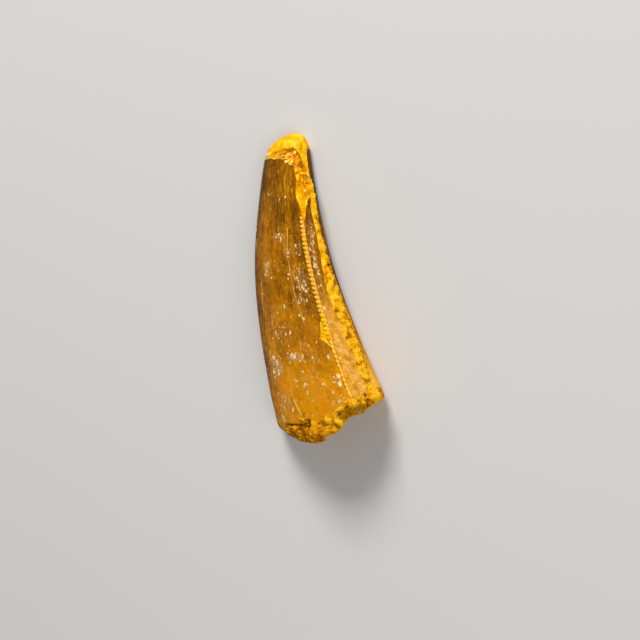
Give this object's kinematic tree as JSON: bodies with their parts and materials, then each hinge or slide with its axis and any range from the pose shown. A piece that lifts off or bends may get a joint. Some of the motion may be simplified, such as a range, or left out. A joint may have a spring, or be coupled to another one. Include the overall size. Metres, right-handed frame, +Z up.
{
  "type": "fossil carcharodontosaurus tooth",
  "caption": "Curved fossil dinosaur tooth crown lying on its side, with a saw-edged back ridge, a chipped tip and sandstone cemented to its broken base.",
  "frame": {"origin": "on the surface that the tooth lies on, under the middle of its bounding box", "axes": "+Y along the tooth's length towards the tip, +X towards its back ridge (the serrated concave edge), +Z up, from the inner side that it lies on to the outer side"},
  "size_m": [0.0214, 0.042, 0.0089],
  "materials": {
    "fossil": "amber-brown fossil enamel, glossy and finely striated lengthwise, with bright ochre-yellow rough dentine and sandstone at the chipped tip, beside the back ridge and along the broken base"
  },
  "bodies": {
    "root": {"tooth": "fossil"}
  },
  "joints": []
}
